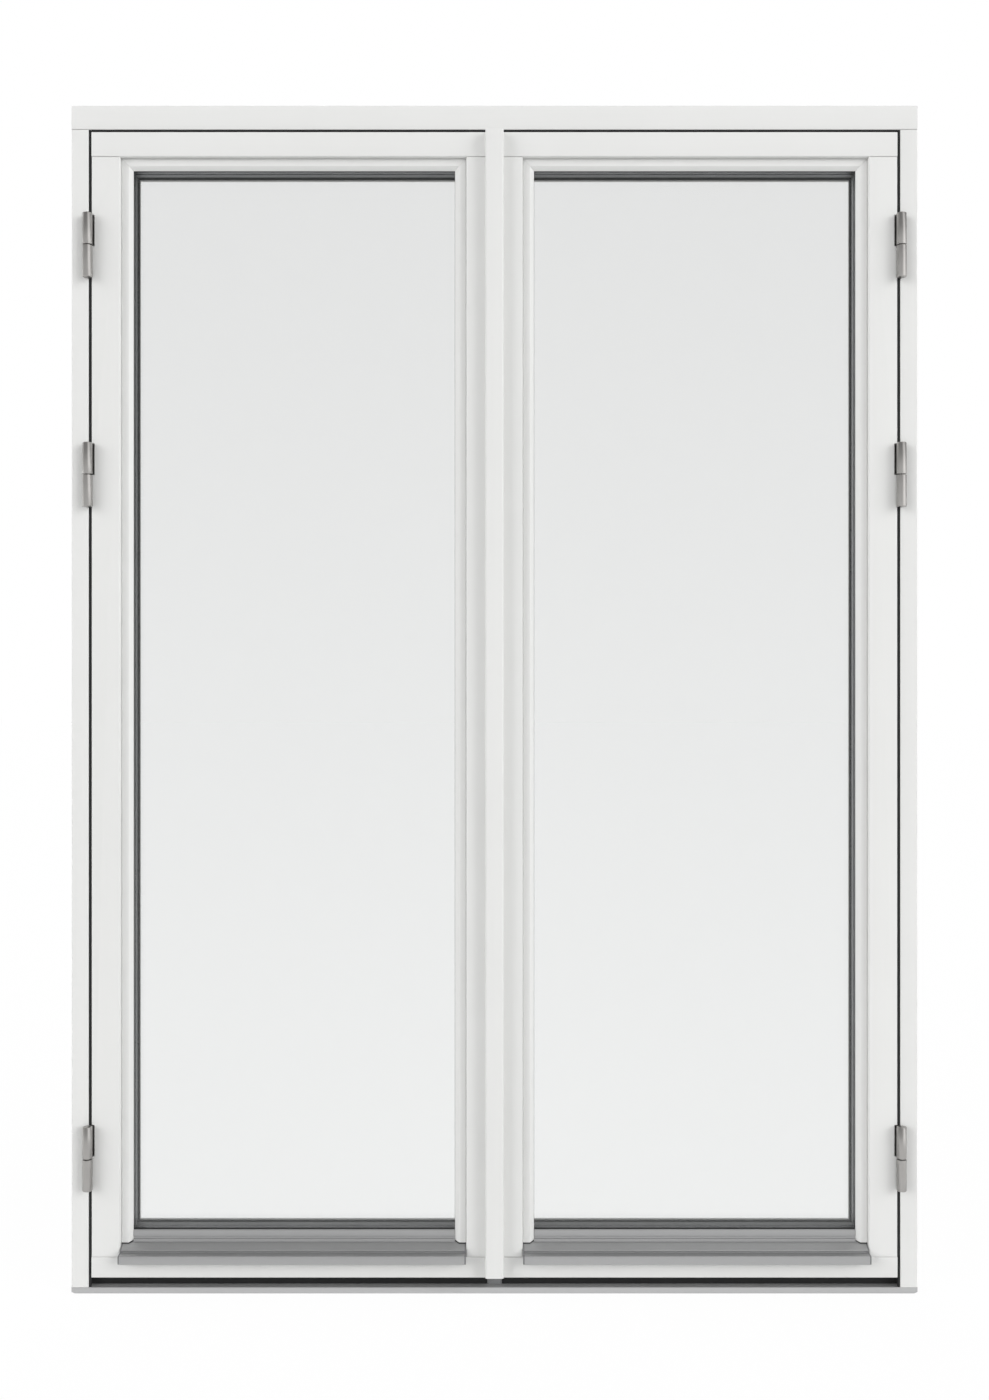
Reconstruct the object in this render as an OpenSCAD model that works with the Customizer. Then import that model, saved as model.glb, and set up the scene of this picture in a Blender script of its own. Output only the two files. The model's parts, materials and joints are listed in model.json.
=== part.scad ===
// Pair of outward-opening glazed timber doors with their frame.
// The outside faces -Y. The origin is under the middle of the threshold.

/* [Frame] */
// Overall width of the frame
frame_w = 1480; // [1180:10:1780]
// Overall height of the frame
frame_h = 2080; // [1980:10:2500]
// Depth of the frame, from outside to inside
frame_d = 115; // [105:1:140]
// Height of the head as seen from outside
head_face = 42; // [38:1:60]
// Width of a jamb as seen from outside
jamb_face = 30; // [28:1:45]
// Width of a jamb where it stops the leaf
jamb_stop = 55; // [50:1:70]
// How far the head's stop hangs below its face
head_stop = 25; // [20:1:35]
// Radius of the eased edges of all timber
arris = 2; // [0.5:0.1:3]
// Diameter of the fixing holes through the jambs
fixing_d = 14; // [8:0.5:16]
// Distance of the end fixings from the ends of a jamb
fixing_end = 180; // [120:5:250]
// Distance between the two fixings of a pair
fixing_pair = 500; // [300:10:600]

/* [Threshold] */
// Height of the aluminium threshold
sill_h = 12.5; // [10:0.5:20]
// Wall of the aluminium threshold
sill_wall = 2.5; // [2:0.1:4]
// Height of the chamfer under the threshold's nose
sill_chamfer = 4.5; // [2:0.5:6]
// Height of the hardwood board behind the leaves, above the floor
board_h = 45; // [40:1:60]
// How far the rubber upstand lies behind the outer face
upstand_back = 16; // [12:1:24]
// Thickness of the rubber upstand
upstand_t = 8; // [5:0.5:10]
// Width of the block between the two upstands
block_w = 25.5; // [20:0.5:40]
// Depth of the block between the two upstands
block_t = 13; // [10:0.5:16]
// Height of the keep on the threshold
keep_h = 8; // [5:0.5:10]

/* [Leaves] */
// Thickness of a leaf
leaf_t = 68; // [60:1:80]
// Gap between a leaf and its jamb
side_gap = 5; // [4:0.5:7]
// Gap between the leaves and the head
top_gap = 4; // [3:0.5:6]
// Gap between the two leaves
meeting_gap = 9; // [8:0.5:12]
// Height of the leaves' lower edge above the floor
leaf_z = 29; // [27:0.5:40]
// Face width of a stile on the hinge side
hinge_stile_w = 50; // [45:1:70]
// Face width of a stile in the middle
lock_stile_w = 45; // [43:1:70]
// Face height of the top rail
top_rail_h = 43.4; // [40:0.2:70]
// Face height of the bottom rail
bottom_rail_h = 36.5; // [34:0.5:60]
// Open joint between two timbers
joint_gap = 0.4; // [0.2:0.1:0.8]
// Width of the strip over the gap
strip_w = 32; // [26:1:40]
// Thickness of the strip over the gap
strip_t = 18; // [12:1:22]
// How much shorter the strip is than the leaf, below
strip_up = 6; // [3:0.5:15]

/* [Glazing] */
// Width of a bead, which is also the depth of the rebate
bead_w = 19.5; // [17:0.5:24]
// Flat part of a bead's face
bead_flat = 12.5; // [10:0.5:15]
// How far a bead's face lies behind the leaf's face
bead_back = 9; // [6:0.5:11]
// How far the glass lies behind the leaf's face
glass_back = 18.6; // [16:0.2:22]
// Thickness of one pane
pane_t = 4; // [3:0.5:5]
// Space between two panes
cavity = 12; // [10:1:14]
// Gap between the sealed unit's edge and the timber
glass_clear = 5; // [4:0.5:7]
// Height of a spacer bar from the unit's edge
spacer_h = 12.5; // [9:0.5:13.5]
// Thickness of a glazing gasket
gasket_t = 3; // [2.5:0.1:4]
// Height of the glass floor above the leaf's lower edge
glass_floor = 61; // [58:0.5:90]

/* [Drip profile] */
// How far the nose stands in front of the leaf
nose_out = 18; // [14:0.5:24]
// Height of the nose's face
nose_h = 15.4; // [12:0.2:18]
// Height of the drip profile's top edge above the leaf's underside
drip_rise = 59.6; // [56:0.2:72]
// Height of the drip profile's lower lip above the leaf's underside
lip_rise = 50; // [48:0.5:54]
// Height of the nose's top above the leaf's underside
nose_rise = 45.2; // [42:0.2:47]
// Wall of the drip profile
drip_wall = 2.2; // [1.8:0.1:2.6]
// Thickness of an end cap
cap_t = 2.5; // [1.5:0.5:4]

/* [Hinges] */
// Diameter of a hinge knuckle
knuckle_d = 17; // [14:0.5:20]
// Length of one knuckle
knuckle_h = 55; // [45:1:65]
// Space between the two knuckles
knuckle_gap = 1.8; // [1:0.1:3]
// Diameter of the hinge pin
pin_d = 8; // [6:0.5:10]
// Length of the pin above its knuckle
pin_h = 40; // [30:1:48]
// Distance of the hinge axis from the frame's outer edge
hinge_inset = 30.5; // [29:0.5:31]
// Distance of the hinge axis in front of the outer face
hinge_out = 8.8; // [8.8:0.1:12]
// Height of the lowest hinge's split above the floor
hinge_low = 240.5; // [200:0.5:300]
// Distance of the highest hinge's split below the frame's top
hinge_high = 247; // [200:1:300]
// Distance between the two upper hinges
hinge_apart = 400; // [200:10:600]

/* [Lock] */
// Height of the handle's spindle above the floor
handle_z = 1000; // [900:10:1100]
// Distance of the spindle from the leaf's edge
backset = 27.5; // [25:0.5:30]
// Diameter of the bolt rods
rod_d = 8; // [6:0.5:9]
// How far the bolt rods stand out of the leaf when locked
rod_travel = 20; // [18:0.5:22]
// Width of the metal plates in the leaves' edges
plate_w = 16; // [14:0.5:18]
// Thickness of the metal plates in the leaves' edges
plate_t = 2.5; // [2:0.5:3]
// Length of the handle's lever
lever_l = 118; // [100:1:140]
// Diameter of the handle's neck
neck_d = 18; // [14:1:20]

/* [Fits] */
// Clearance between a pin and its bore, on the radius
pin_fit = 0.06; // [0.02:0.01:0.1]
// Clearance round a sliding rod, on the radius
rod_fit = 0.6; // [0.3:0.1:1]
// Clearance between two pieces that only meet
rest_fit = 0.3; // [0.2:0.05:0.4]
// Clearance between a plate and its recess
plate_fit = 0.1; // [0.05:0.05:0.2]

/* [Hidden] */
$fn = 48;
white = "#e8e8e6";
alu = "#a5a7a8";
alu_dark = "#8e9092";
nickel = "#a9a59c";
black = "#222324";
oak = "#8a6b48";
glass = "#bfd3cf";
steel = "#b9bcbe";
left = -1;
right = 1;

front = -frame_d / 2;
back = frame_d / 2;
half_w = frame_w / 2;
leaf_in = meeting_gap / 2;
leaf_out = half_w - jamb_face - side_gap;
leaf_top = frame_h - head_face - top_gap;
leaf_back = front + leaf_t;
stop_y = leaf_back + gasket_t;
head_z = frame_h - head_face;
head_stop_z = head_z - head_stop;
jamb_x = half_w - jamb_face;
stop_x = half_w - jamb_stop;
stile_z0 = leaf_z + bottom_rail_h;
stile_z1 = leaf_top - top_rail_h;
rebate_in = leaf_in + lock_stile_w;
rebate_out = leaf_out - hinge_stile_w;
sight_in = rebate_in + bead_w;
sight_out = rebate_out - bead_w;
sight_top = stile_z1 - bead_w;
unit_t = 3 * pane_t + 2 * cavity;
lip_v = glass_back + unit_t + gasket_t;
floor_z = leaf_z + glass_floor;
sight_low = floor_z + bead_w - joint_gap;
unit_x0 = rebate_in + glass_clear;
unit_x1 = rebate_out - glass_clear;
unit_z0 = floor_z + glass_clear;
unit_z1 = stile_z1 - glass_clear;
bead_v = glass_back - gasket_t;
hinge_x = half_w - hinge_inset;
hinge_y = front - hinge_out;
knuckle_r = knuckle_d / 2;
hinge_splits = [hinge_low, frame_h - hinge_high - hinge_apart, frame_h - hinge_high];
// The lock's parts lie round a line in the leaf's thickness.
lock_y = front + leaf_t * 0.55;
rod_r = rod_d / 2;
bore_r = rod_r + rod_fit;
rod_x = leaf_in + plate_t + bore_r;
rod_rest = 1;
spindle_x = leaf_in + backset;
case_h = 136;
case_w = 34.5;
case_t = 15;
case_z0 = handle_z - case_h / 2;
case_z1 = handle_z + case_h / 2;
spindle_r = 4.6;
flush_plate_l = 300;
thumb_h = 15;
thumb_from_end = 70;
thumb_w = 7;
top_thumb = stile_z1 - flush_plate_l + thumb_from_end;
low_thumb = stile_z0 + flush_plate_l - thumb_from_end - thumb_h;
escutcheon_w = 30;
escutcheon_h = 150;
escutcheon_t = 9;
lever_d = 15;
lever_out = 44;
keep_l = 60;
keep_w = 20;
keep_t = 2;
bore_depth = rod_travel;
seal_w = 8;
seal_in = 5;
plate_depth = 56;
hinge_plate_t = 2.5;
drip_foot = 33;
drip_top = leaf_z + drip_rise;
drip_lip = leaf_z + lip_rise;
nose_top = leaf_z + nose_rise;
nose_z0 = nose_top - nose_h;
drip_back = bead_v - plate_fit;
drip_bend = -3.2;
// How far the bottom rail's slope lies below the drip profile's top.
drip_seat = 3.6;
// Top of the bottom rail's lower, full-depth part.
rail_mid = leaf_z + 30;
fin_out = 3.8;
fin_step = 12;
relief_w = 5.2;
relief_d = 12;
gap_seal_fit = 0.6;
gap_seal_in = 1.2;
gap_seal_w = 6;
strip_down = 1.4;
foot_gap = 2.2;
pad_t = 2;

// ---- shared shapes

// Outline whose corners [x, y, radius] are rounded.
function unit_of(v) = v / norm(v);
function turn(a) = a > 180 ? a - 360 : a < -180 ? a + 360 : a;
function corner(p, a, b, r) = let(
    u = unit_of(a - p),
    v = unit_of(b - p),
    half = acos(u * v) / 2,
    centre = p + unit_of(u + v) * r / sin(half),
    from = p + u * r / tan(half) - centre,
    to = p + v * r / tan(half) - centre,
    start = atan2(from.y, from.x),
    sweep = turn(atan2(to.y, to.x) - start),
    steps = 4
) [for (i = [0 : steps]) centre + r * [cos(start + sweep * i / steps), sin(start + sweep * i / steps)]];
function eased(pts) = let(n = len(pts)) [
    for (i = [0 : n - 1])
        let(
            p = [pts[i].x, pts[i].y],
            a = [pts[(i + n - 1) % n].x, pts[(i + n - 1) % n].y],
            b = [pts[(i + 1) % n].x, pts[(i + 1) % n].y]
        )
        for (q = pts[i].z > 0 ? corner(p, a, b, pts[i].z) : [p]) q
];

// A bar along X from an outline in Y and Z.
module along_x(x0, x1) {
    translate([x0, 0, 0])
        rotate([90, 0, 90])
            linear_extrude(x1 - x0) children();
}

// A bar along Z from an outline in X and Y.
module along_z(z0, z1) {
    translate([0, 0, z0])
        linear_extrude(z1 - z0) children();
}

// A bar along Y from an outline in X and Z.
module along_y(y0, y1) {
    translate([0, y1, 0])
        rotate([90, 0, 0])
            linear_extrude(y1 - y0) children();
}

module block(x0, x1, y0, y1, z0, z1) {
    translate([x0, y0, z0])
        cube([x1 - x0, y1 - y0, z1 - z0]);
}

// Leaf pieces are drawn on the right and mirrored for the left.
module on(side) {
    if (side == right) children();
    else mirror([1, 0, 0]) children();
}

module rod_bore(z0, z1) {
    translate([rod_x, lock_y, z0])
        cylinder(h = z1 - z0, r = bore_r);
}

// ---- frame

module frame_head() {
    color(white) difference() {
        union() {
            along_x(-half_w, half_w) polygon(eased([
                [front, head_z, arris], [stop_y, head_z, 0], [stop_y, head_z + 1, 0],
                [back, head_z + 1, 0], [back, frame_h, 0], [front, frame_h, arris],
            ]));
            along_x(-stop_x + joint_gap, stop_x - joint_gap) polygon(eased([
                [stop_y, head_stop_z, arris], [back, head_stop_z, arris],
                [back, head_z + 2, 0], [stop_y, head_z + 2, 0],
            ]));
        }
        for (side = [left, right])
            on(side) rod_bore(head_z - 1, head_z + keep_t + bore_depth);
        block(-keep_l / 2 - plate_fit, keep_l / 2 + plate_fit, lock_y - keep_w / 2 - plate_fit,
            lock_y + keep_w / 2 + plate_fit, head_z - 1, head_z + keep_t);
    }
}

function fixing_heights() = [
    sill_h + fixing_end,
    sill_h + fixing_end + fixing_pair,
    frame_h - head_face - fixing_end - fixing_pair,
    frame_h - head_face - fixing_end,
];

module frame_jamb() {
    color(white) difference() {
        along_z(sill_h, head_z - joint_gap) polygon(eased([
            [half_w, front, arris], [jamb_x, front, arris], [jamb_x, stop_y, 0],
            [stop_x, stop_y, arris], [stop_x, back, arris], [half_w, back, arris],
        ]));
        for (z = fixing_heights())
            translate([stop_x - 1, (stop_y + back) / 2, z])
                rotate([0, 90, 0]) cylinder(h = jamb_stop + 2, d = fixing_d);
        for (z = hinge_splits)
            block(jamb_x - 1, jamb_x + hinge_plate_t, front - 1, front + plate_depth,
                z - knuckle_gap / 2 - knuckle_h, z - knuckle_gap / 2);
    }
}

module threshold() {
    chambers = [[front + sill_wall, lock_y - 12], [lock_y - 9.5, lock_y + 9.5],
        [lock_y + 12, stop_y + 10], [stop_y + 12.5, back - sill_wall]];
    color(alu) difference() {
        along_x(-half_w, half_w) difference() {
            polygon(eased([
                [front, sill_h, 1], [front, sill_chamfer, 1], [front + sill_chamfer, 0, 0],
                [back, 0, 0], [back, sill_h, 0],
            ]));
            for (c = chambers)
                polygon([
                    [c[0], sill_chamfer + 1], [c[0] + sill_chamfer, sill_wall],
                    [c[1], sill_wall], [c[1], sill_h - sill_wall], [c[0], sill_h - sill_wall],
                ]);
        }
        for (side = [left, right]) {
            on(side) rod_bore(sill_h - sill_wall - 1, sill_h + 1);
            on(side) along_y(front - 1, back + 1) polygon([
                [half_w - sill_chamfer - 1, -1], [half_w + 1, sill_chamfer + 1], [half_w + 1, -1],
            ]);
        }
    }
}

module threshold_board() {
    color(oak) along_x(-stop_x + rest_fit, stop_x - rest_fit) polygon(eased([
        [stop_y, sill_h, 0], [back, sill_h, 0], [back, board_h, 4], [stop_y, board_h, arris],
    ]));
}

module threshold_block() {
    y0 = front + upstand_back - 2;
    color(alu_dark) along_z(sill_h, leaf_z - rest_fit) polygon(eased([
        [-block_w / 2, y0, 2], [block_w / 2, y0, 2],
        [block_w / 2, y0 + block_t, 1], [-block_w / 2, y0 + block_t, 1],
    ]));
}

module threshold_upstands() {
    y0 = front + upstand_back;
    for (side = [left, right])
        color(black) on(side) along_x(block_w / 2 + rest_fit, jamb_x - rest_fit) polygon(eased([
            [y0, sill_h, 0], [y0 + upstand_t, sill_h, 0], [y0 + upstand_t, leaf_z - rest_fit, 2.5],
            [y0 + 1, leaf_z - rest_fit, 2.5],
        ]));
}

// Seals on the stops, in front of which the closed leaves lie.
module frame_seals() {
    y0 = leaf_back + rest_fit;
    x0 = stop_x + seal_in;
    z0 = board_h - seal_in - seal_w;
    z1 = head_stop_z + seal_in;
    color(black) {
        for (side = [left, right])
            on(side) block(x0, x0 + seal_w, y0, stop_y, z0, z1 + seal_w);
        block(-x0, x0, y0, stop_y, z1, z1 + seal_w);
        block(-stop_x + 1, stop_x - 1, y0, stop_y, z0, z0 + seal_w);
    }
}

// Outer seals in the gap between the frame and the leaves' edges.
module gap_seals() {
    y0 = front + gap_seal_in;
    color(black) {
        for (side = [left, right])
            on(side) along_z(sill_h, head_z - joint_gap) polygon(eased([
                [jamb_x, y0, 0], [leaf_out + gap_seal_fit, y0, 1.2],
                [leaf_out + gap_seal_fit, y0 + gap_seal_w - 2, 1], [jamb_x, y0 + gap_seal_w, 0],
            ]));
        along_x(-leaf_out, leaf_out) polygon(eased([
            [y0, head_z, 0], [y0, leaf_top + gap_seal_fit, 1.2],
            [y0 + gap_seal_w - 2, leaf_top + gap_seal_fit, 1], [y0 + gap_seal_w, head_z, 0],
        ]));
    }
}

module keep_plate(z0, h) {
    color(steel) difference() {
        block(-keep_l / 2, keep_l / 2, lock_y - keep_w / 2, lock_y + keep_w / 2, z0, z0 + h);
        for (side = [left, right])
            on(side) rod_bore(z0 - 1, z0 + h + 1);
    }
}

module head_keep() {
    keep_plate(head_z, keep_t);
}

module threshold_keep() {
    keep_plate(sill_h, keep_h);
}

// Half of a lift-off hinge that the jamb carries, with the pin.
module hinge_frame(z) {
    top = z - knuckle_gap / 2;
    color(nickel) union() {
        translate([hinge_x, hinge_y, top - knuckle_h]) {
            cylinder(h = 1, r1 = knuckle_r - 1, r2 = knuckle_r);
            translate([0, 0, 1]) cylinder(h = knuckle_h - 1.5, r = knuckle_r);
            translate([0, 0, knuckle_h - 0.5]) cylinder(h = 0.5, r1 = knuckle_r, r2 = knuckle_r - 0.5);
            cylinder(h = knuckle_h + pin_h - 1, d = pin_d);
            translate([0, 0, knuckle_h + pin_h - 1]) cylinder(h = 1, d1 = pin_d, d2 = pin_d - 2);
        }
        block(jamb_x + plate_fit, jamb_x + hinge_plate_t, hinge_y + 3, front + plate_depth - plate_fit,
            top - knuckle_h + 1, top - 1);
    }
}

// Half of a lift-off hinge that the leaf carries, with the bore.
module hinge_leaf(z) {
    low = z + knuckle_gap / 2;
    color(nickel) difference() {
        union() {
            translate([hinge_x, hinge_y, low]) {
                cylinder(h = 0.5, r1 = knuckle_r - 0.5, r2 = knuckle_r);
                translate([0, 0, 0.5]) cylinder(h = knuckle_h - 1.5, r = knuckle_r);
                translate([0, 0, knuckle_h - 1]) cylinder(h = 1, r1 = knuckle_r, r2 = knuckle_r - 1);
            }
            block(leaf_out - hinge_plate_t, leaf_out - plate_fit, hinge_y + 3,
                front + plate_depth - plate_fit, low + 1, low + knuckle_h - 1);
        }
        translate([hinge_x, hinge_y, low - 1])
            cylinder(h = pin_h + rest_fit + 1 - knuckle_gap, r = pin_d / 2 + pin_fit);
    }
}

// ---- leaves

module stile_blank(edge, rebate, sight) {
    s = sign(rebate - edge);
    along_z(stile_z0 + joint_gap, stile_z1 - joint_gap) polygon(eased([
        [edge, front, arris], [rebate, front, arris], [rebate, front + lip_v, 0],
        [sight, front + lip_v, 0], [sight, leaf_back, arris], [edge, leaf_back, arris],
    ]));
}

module hinge_stile() {
    color(white) difference() {
        stile_blank(leaf_out, rebate_out, sight_out);
        for (z = hinge_splits)
            translate([0, 0, z + knuckle_gap / 2]) {
                block(leaf_out - hinge_plate_t, leaf_out + 1, front - 1, front + plate_depth, 0, knuckle_h);
                // Room for the fingers and the swing beside the knuckle.
                block(leaf_out - relief_w, leaf_out + 1, front - 1, front + relief_d, 0, knuckle_h);
            }
    }
}

module edge_grooves(z0, z1) {
    block(leaf_in - 1, leaf_in + plate_t, lock_y - plate_w / 2 - plate_fit,
        lock_y + plate_w / 2 + plate_fit, z0, z1);
    block(leaf_in, rod_x + bore_r, lock_y - bore_r, lock_y + bore_r, z0, z1);
}

module lock_stile_left() {
    color(white) difference() {
        stile_blank(leaf_in, rebate_in, sight_in);
        edge_grooves(stile_z0, stile_z0 + flush_plate_l + plate_fit);
        edge_grooves(stile_z1 - flush_plate_l - plate_fit, stile_z1);
    }
}

module lock_stile_right() {
    color(white) difference() {
        stile_blank(leaf_in, rebate_in, sight_in);
        edge_grooves(stile_z0, stile_z1);
        block(leaf_in, leaf_in + plate_t + case_w + rest_fit, lock_y - case_t / 2 - rest_fit,
            lock_y + case_t / 2 + rest_fit, case_z0 - rest_fit, case_z1 + rest_fit);
        translate([spindle_x, lock_y, handle_z])
            rotate([-90, 0, 0]) cylinder(h = leaf_t, r = spindle_r + 2);
    }
}

module top_rail() {
    color(white) difference() {
        union() {
            along_x(leaf_in, leaf_out) polygon(eased([
                [front, stile_z1, arris], [front + lip_v, stile_z1, 0],
                [leaf_back, stile_z1, 0], [leaf_back, leaf_top, arris], [front, leaf_top, arris],
            ]));
            along_x(sight_in + joint_gap, sight_out - joint_gap) polygon(eased([
                [front + lip_v, sight_top, 0], [leaf_back, sight_top, arris],
                [leaf_back, stile_z1 + 2, 0], [front + lip_v, stile_z1 + 2, 0],
            ]));
        }
        rod_bore(stile_z1 - 1, leaf_top + 1);
    }
}

module bottom_rail() {
    color(white) difference() {
        union() {
            along_x(leaf_in, leaf_out) polygon(eased([
                [front, leaf_z, arris], [leaf_back, leaf_z, arris],
                [leaf_back, stile_z0, 0], [front, stile_z0, arris],
            ]));
            along_x(rebate_in + joint_gap, rebate_out - joint_gap) polygon([
                [front, rail_mid], [front, drip_lip - drip_wall],
                [front + drip_back + 1, drip_top - drip_seat], [front + drip_back + 1, floor_z],
                [front + lip_v, floor_z], [front + lip_v, rail_mid],
            ]);
            along_x(sight_in + joint_gap, sight_out - joint_gap) polygon(eased([
                [front + lip_v, rail_mid, 0], [leaf_back, rail_mid, 0],
                [leaf_back, sight_low, arris], [front + lip_v, sight_low, 0],
            ]));
        }
        rod_bore(leaf_z - 1, stile_z0 + 1);
    }
}

// Bead outline, with u across its width and v into the leaf.
function bead_outline() = [
    [0, bead_back, 1.2], [bead_flat, bead_back, 2], [bead_w, bead_v - 1, 0.4],
    [bead_w, bead_v, 0], [0, bead_v, 0],
];

module bead_side(edge, dir) {
    past = bead_w + 2;
    color(white) difference() {
        along_z(drip_top - 20, stile_z1 - joint_gap) polygon([
            for (p = eased(bead_outline())) [edge + dir * p.x, front + p.y]
        ]);
        // Its foot follows the slope of the drip profile below it.
        along_x(rebate_in - 1, rebate_out + 1) polygon([
            [front, drip_top - 30], [front + bead_v + 1, drip_top - 30],
            [front + bead_v + 1, drip_slope(bead_v + 1) + foot_gap], [front, drip_slope(0) + foot_gap],
        ]);
        // Its head is mitred against the top bead.
        along_y(front, leaf_back) polygon([
            [edge - dir * 2, stile_z1 + 2 - joint_gap], [edge + dir * past, stile_z1 - past - joint_gap],
            [edge + dir * past, stile_z1 + 2], [edge - dir * 2, stile_z1 + 3],
        ]);
    }
}

// Soft pad between a side bead's foot and the drip profile.
module bead_pad(edge, dir) {
    lift = (foot_gap - pad_t) / 2;
    color(black) intersection() {
        along_z(drip_top - 20, drip_top + 20) polygon([
            for (p = eased(bead_outline())) [edge + dir * p.x, front + p.y]
        ]);
        along_x(rebate_in - 1, rebate_out + 1) polygon([
            [front, drip_slope(0) + lift], [front + bead_v + 1, drip_slope(bead_v + 1) + lift],
            [front + bead_v + 1, drip_slope(bead_v + 1) + lift + pad_t], [front, drip_slope(0) + lift + pad_t],
        ]);
    }
}

module bead_top() {
    past = bead_w + 2;
    color(white) difference() {
        along_x(rebate_in + joint_gap, rebate_out - joint_gap) polygon([
            for (p = eased(bead_outline())) [front + p.y, stile_z1 - joint_gap - p.x]
        ]);
        for (end = [[rebate_in + joint_gap, 1], [rebate_out - joint_gap, -1]])
            along_y(front, leaf_back) polygon([
                [end[0] - end[1] * 2, stile_z1 + 2], [end[0] + end[1] * past, stile_z1 - past],
                [end[0] - end[1] * 2, stile_z1 - past],
            ]);
    }
}

// Height of the drip profile's outer slope at depth v.
function drip_slope(v) = drip_lip + (v - drip_bend) * (drip_top - drip_lip) / (drip_back - drip_bend);

module drip_profile() {
    w = drip_wall;
    x0 = rebate_in + rest_fit + cap_t;
    x1 = rebate_out - rest_fit - cap_t;
    color(alu) translate([0, front, 0]) {
        along_x(x0, x1) polygon(eased([
            [drip_back, drip_top, 0], [drip_bend, drip_lip, 0.8], [drip_bend - 1.2, drip_lip - 1.4, 0.5],
            [drip_bend + 1.4, nose_top + 1.4, 0.6], [drip_bend, nose_top, 1.2],
            [-nose_out, nose_top, 2], [-nose_out, nose_z0, 1], [w - nose_out, nose_z0, 1],
            [w - nose_out, nose_top - w, 1], [-w - plate_fit, nose_top - w, 0.5],
            [-w - plate_fit, leaf_z + drip_foot, 0], [-plate_fit, leaf_z + drip_foot, 0],
            [-plate_fit, drip_slope(0) - w * 1.2, 0], [drip_back, drip_top - w * 1.2, 0],
        ]));
        along_x(sight_in + joint_gap + rest_fit, sight_out - joint_gap - rest_fit) polygon(eased([
            [drip_back, sight_low, 0.4], [drip_back - w, sight_low - w + 0.5, 0.8],
            [drip_back - w, sight_low - fin_step, 0.3], [drip_back - w / 2, sight_low - fin_step - 1, 0.3],
            [drip_back - w / 2, sight_low - fin_step - fin_out, 0.3],
            [drip_back - fin_out, sight_low - fin_step - fin_out - 1, 0.3],
            [drip_back - fin_out, drip_slope(drip_back - fin_out) + 0.9, 0.3],
            [drip_back - w, drip_slope(drip_back - w) - 0.5, 0], [drip_back, drip_top - 1, 0],
        ]));
    }
}

module drip_caps() {
    w = drip_wall;
    for (x = [rebate_in + rest_fit, rebate_out - rest_fit - cap_t])
        color(alu_dark) translate([0, front, 0]) along_x(x, x + cap_t) polygon(eased([
            [drip_back, drip_top, 0], [drip_bend, drip_lip, 1.2], [drip_bend - 1.4, nose_top, 1.2],
            [-nose_out, nose_top, 2.5], [-nose_out, nose_z0, 2.5], [-w - plate_fit, nose_z0, 1],
            [-w - plate_fit, leaf_z + drip_foot, 0], [-plate_fit, leaf_z + drip_foot, 0],
            [-plate_fit, drip_slope(0) - w * 1.2, 0], [drip_back, drip_top - w * 1.2, 0],
        ]));
}

module panes() {
    for (i = [0 : 2])
        color(glass) block(unit_x0, unit_x1, front + glass_back + i * (pane_t + cavity),
            front + glass_back + i * (pane_t + cavity) + pane_t, unit_z0, unit_z1);
}

// Flat ring in the glass plane, given by its outer box and its width.
module ring(y0, y1, x0, x1, z0, z1, w) {
    difference() {
        block(x0, x1, y0, y1, z0, z1);
        block(x0 + w, x1 - w, y0 - 1, y1 + 1, z0 + w, z1 - w);
    }
}

module spacers() {
    edge = 2;
    for (i = [0 : 1])
        color(alu_dark) ring(front + glass_back + pane_t + i * (pane_t + cavity),
            front + glass_back + (i + 1) * (pane_t + cavity),
            unit_x0 + edge, unit_x1 - edge, unit_z0 + edge, unit_z1 - edge, spacer_h - edge);
}

module gaskets() {
    proud = 0.8;
    hold = 6;
    x0 = sight_in - hold;
    x1 = sight_out + hold;
    z0 = sight_low - hold;
    z1 = sight_top + hold;
    color(black) {
        ring(front + bead_v, front + glass_back, x0, x1, z0, z1, hold + proud);
        ring(front + glass_back + unit_t, front + lip_v, x0, x1, z0, z1, hold + proud);
    }
    bead_pad(rebate_out - joint_gap, -1);
    bead_pad(rebate_in + joint_gap, 1);
}

module glass_blocks() {
    block_l = 80;
    inset = 40;
    for (x = [unit_x0 + inset, unit_x1 - inset - block_l])
        color(black) block(x, x + block_l, front + glass_back + 1, front + glass_back + unit_t - 1,
            floor_z, unit_z0);
}

// Strip on the right leaf that laps over the left one.
module cover_strip() {
    color(white) along_z(leaf_z + strip_up, leaf_top - strip_down) polygon(eased([
        [-strip_w / 2, front - strip_t, 3], [strip_w / 2, front - strip_t, 3],
        [strip_w / 2, front, 0.5], [leaf_in - 0.5, front, 0], [leaf_in - 0.5, front - rest_fit, 0],
        [-strip_w / 2, front - rest_fit, 0.5],
    ]));
}

// ---- lock and bolts

module lock_faceplate() {
    color(steel) block(leaf_in, leaf_in + plate_t, lock_y - plate_w / 2, lock_y + plate_w / 2,
        stile_z0 + joint_gap, stile_z1 - joint_gap);
}

module lock_case() {
    x0 = leaf_in + plate_t;
    color(steel) difference() {
        block(x0, x0 + case_w, lock_y - case_t / 2, lock_y + case_t / 2, case_z0, case_z1);
        translate([spindle_x, lock_y - case_t, handle_z])
            rotate([-90, 0, 0]) cylinder(h = 2 * case_t, r = spindle_r + rod_fit);
    }
}

module rod(z0, z1) {
    color(steel) translate([rod_x, lock_y, z0])
        cylinder(h = z1 - z0, r = rod_r);
}

// At rest the handle points up and the rods are drawn in by their travel.
// With the handle level they end inside the rails, and with it down they lock.
module rod_top() {
    rod(case_z1 + rest_fit, leaf_top - rod_rest - rod_travel);
}

module rod_bottom() {
    rod(leaf_z + rod_rest + rod_travel, case_z0 - rest_fit);
}

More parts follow.
